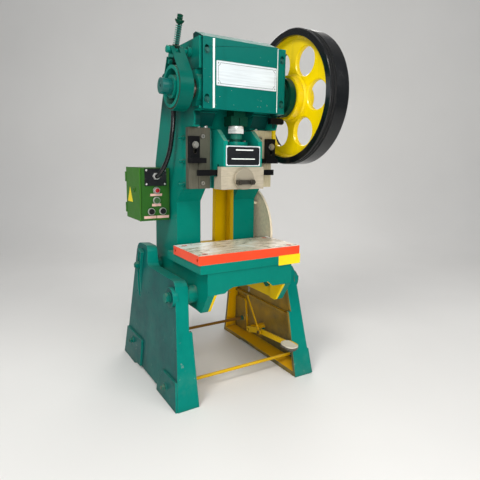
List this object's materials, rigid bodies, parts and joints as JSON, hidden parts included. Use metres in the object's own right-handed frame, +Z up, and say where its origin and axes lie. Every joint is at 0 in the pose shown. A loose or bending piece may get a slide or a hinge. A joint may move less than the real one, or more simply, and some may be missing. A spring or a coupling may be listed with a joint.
{
  "type": "mechanical stamping press",
  "caption": "Open-back inclinable stamping press with crank-driven slide, holed flywheel, band brake, bolster, leg stand, foot pedal and control box.",
  "frame": {"origin": "centre of the bounding box at floor level", "axes": "+X towards the flywheel, -Y towards the operator, +Z up"},
  "size_m": [0.69, 0.761, 1.433],
  "materials": {
    "teal_paint": "semi-gloss",
    "orange_paint": "semi-gloss",
    "yellow_paint": "semi-gloss",
    "box_paint": "satin",
    "dark_green_paint": "semi-gloss",
    "black_paint": "satin",
    "grey_paint": "satin",
    "bare_steel": "ground",
    "zinc_steel": "satin",
    "sheet_steel": "worn",
    "bronze": "satin",
    "belt_rubber": "matt",
    "conduit_plastic": "matt",
    "lining_fibre": "matt",
    "green_plastic": "gloss",
    "black_plastic": "gloss"
  },
  "bodies": {
    "stand": {"left_leg": "teal_paint", "right_leg": "teal_paint", "tie_rods": "bare_steel", "tie_rod_nuts": "zinc_steel", "pivot_bolts": "zinc_steel"},
    "frame": {"frame": "teal_paint", "tilt_bolts": "zinc_steel", "bearing_caps": "teal_paint", "bearing_bushes": "bronze", "cap_bolts": "zinc_steel", "bolster_plate": "orange_paint", "bolster_bolts": "zinc_steel", "front_cover": "teal_paint", "left_gib": "bare_steel", "right_gib": "bare_steel", "front_screws": "zinc_steel", "gib_set_screws": "zinc_steel", "knockout_stops": "black_paint", "brake_lining": "lining_fibre", "brake_band": "teal_paint", "brake_anchor_pin": "teal_paint", "brake_rod": "zinc_steel", "brake_eye_pin": "zinc_steel", "brake_spring": "dark_green_paint", "brake_cup": "dark_green_paint", "motor": "grey_paint", "motor_plate": "teal_paint", "v_belts": "belt_rubber", "control_box": "box_paint", "box_fittings": "zinc_steel", "conduit": "conduit_plastic", "conduit_fittings": "zinc_steel", "trip_bracket": "black_paint", "side_guard": "sheet_steel"},
    "crankshaft": {"crankshaft": "bare_steel", "clutch_collar": "dark_green_paint", "brake_drum": "teal_paint", "end_cap": "dark_green_paint"},
    "connecting_rod": {"connecting_rod": "teal_paint", "rod_cap": "teal_paint", "rod_cap_bolts": "zinc_steel", "adjusting_screw": "bare_steel", "lock_nut": "bare_steel"},
    "slide": {"slide": "teal_paint", "ball_cap": "bare_steel", "ball_cap_bolts": "zinc_steel", "shank_clamp": "bare_steel", "clamp_nuts": "black_paint"},
    "knockout_bar": {"knockout_bar": "black_paint"},
    "flywheel": {"flywheel": "yellow_paint", "flywheel_bush": "bronze"},
    "motor_pulley": {"motor_pulley": "grey_paint"},
    "pedal": {"pedal": "grey_paint"},
    "pull_rod": {"pull_rod": "yellow_paint"},
    "trip_rod": {"trip_rod": "bare_steel"},
    "trip_arm": {"trip_arm": "black_paint"},
    "box_door": {"box_door": "box_paint"},
    "start_button": {"start_button": "green_plastic"},
    "stop_button": {"stop_button": "black_plastic"},
    "jog_button": {"jog_button": "black_plastic"}
  },
  "joints": [
    {"name": "frame_tilt", "type": "hinge", "parent": "stand", "child": "frame", "pos_m": [-0.011, -0.1275, 0.4], "axis": [-1, 0, 0], "range_deg": [0, 18]},
    {"name": "crank_turn", "type": "hinge", "parent": "frame", "child": "crankshaft", "pos_m": [-0.011, -0.1125, 1.165], "axis": [-1, 0, 0], "range_deg": [0, 180]},
    {"name": "rod_swing", "type": "hinge", "parent": "crankshaft", "child": "connecting_rod", "pos_m": [-0.011, -0.1125, 1.1875], "axis": [-1, 0, 0], "range_deg": [-180, 0]},
    {"name": "slide_stroke", "type": "slide", "parent": "frame", "child": "slide", "axis": [0, 0, -1], "range_m": [0, 0.045]},
    {"name": "bar_lift", "type": "slide", "parent": "slide", "child": "knockout_bar", "axis": [0, 0, 1], "range_m": [0, 0.018]},
    {"name": "flywheel_spin", "type": "hinge", "parent": "frame", "child": "flywheel", "pos_m": [0.274, -0.1125, 1.165], "axis": [-1, 0, 0], "continuous": true},
    {"name": "pulley_spin", "type": "hinge", "parent": "frame", "child": "motor_pulley", "pos_m": [0.245, 0.1895, 0.985], "axis": [-1, 0, 0], "continuous": true},
    {"name": "pedal_press", "type": "hinge", "parent": "stand", "child": "pedal", "pos_m": [0.196, 0.0965, 0.102], "axis": [1, 0, 0], "range_deg": [0, 10], "stiffness_Nm_per_rad": 30, "springref_deg": -20.05},
    {"name": "pull_rod_drop", "type": "slide", "parent": "stand", "child": "pull_rod", "axis": [0, 0, -1], "range_m": [0, 0.0187]},
    {"name": "trip_rod_drop", "type": "slide", "parent": "frame", "child": "trip_rod", "axis": [0, 0, -1], "range_m": [0, 0.0187]},
    {"name": "trip_arm_turn", "type": "hinge", "parent": "frame", "child": "trip_arm", "pos_m": [0.185, -0.1375, 1.066], "axis": [-1, 0, 0], "range_deg": [0, 4.6]},
    {"name": "door_swing", "type": "hinge", "parent": "frame", "child": "box_door", "pos_m": [-0.325, 0.2985, 0.76], "axis": [0, 0, -1], "range_deg": [0, 110]},
    {"name": "start_press", "type": "slide", "parent": "frame", "child": "start_button", "axis": [0, 1, 0], "range_m": [0, 0.004], "stiffness_N_per_m": 700, "springref_m": -0.003},
    {"name": "stop_press", "type": "slide", "parent": "frame", "child": "stop_button", "axis": [0, 1, 0], "range_m": [0, 0.004], "stiffness_N_per_m": 700, "springref_m": -0.003},
    {"name": "jog_press", "type": "slide", "parent": "frame", "child": "jog_button", "axis": [0, 1, 0], "range_m": [0, 0.004], "stiffness_N_per_m": 700, "springref_m": -0.003}
  ],
  "couplings": [
    {"joint": "rod_swing", "follows": "crank_turn", "ratio": -1},
    {"joint": "slide_stroke", "follows": "crank_turn", "m_per_rad": 0.014324},
    {"joint": "pulley_spin", "follows": "flywheel_spin", "ratio": 6.7179},
    {"joint": "pull_rod_drop", "follows": "pedal_press", "m_per_rad": 0.107},
    {"joint": "trip_rod_drop", "follows": "pedal_press", "m_per_rad": 0.107},
    {"joint": "trip_arm_turn", "follows": "pedal_press", "ratio": 0.4553}
  ]
}
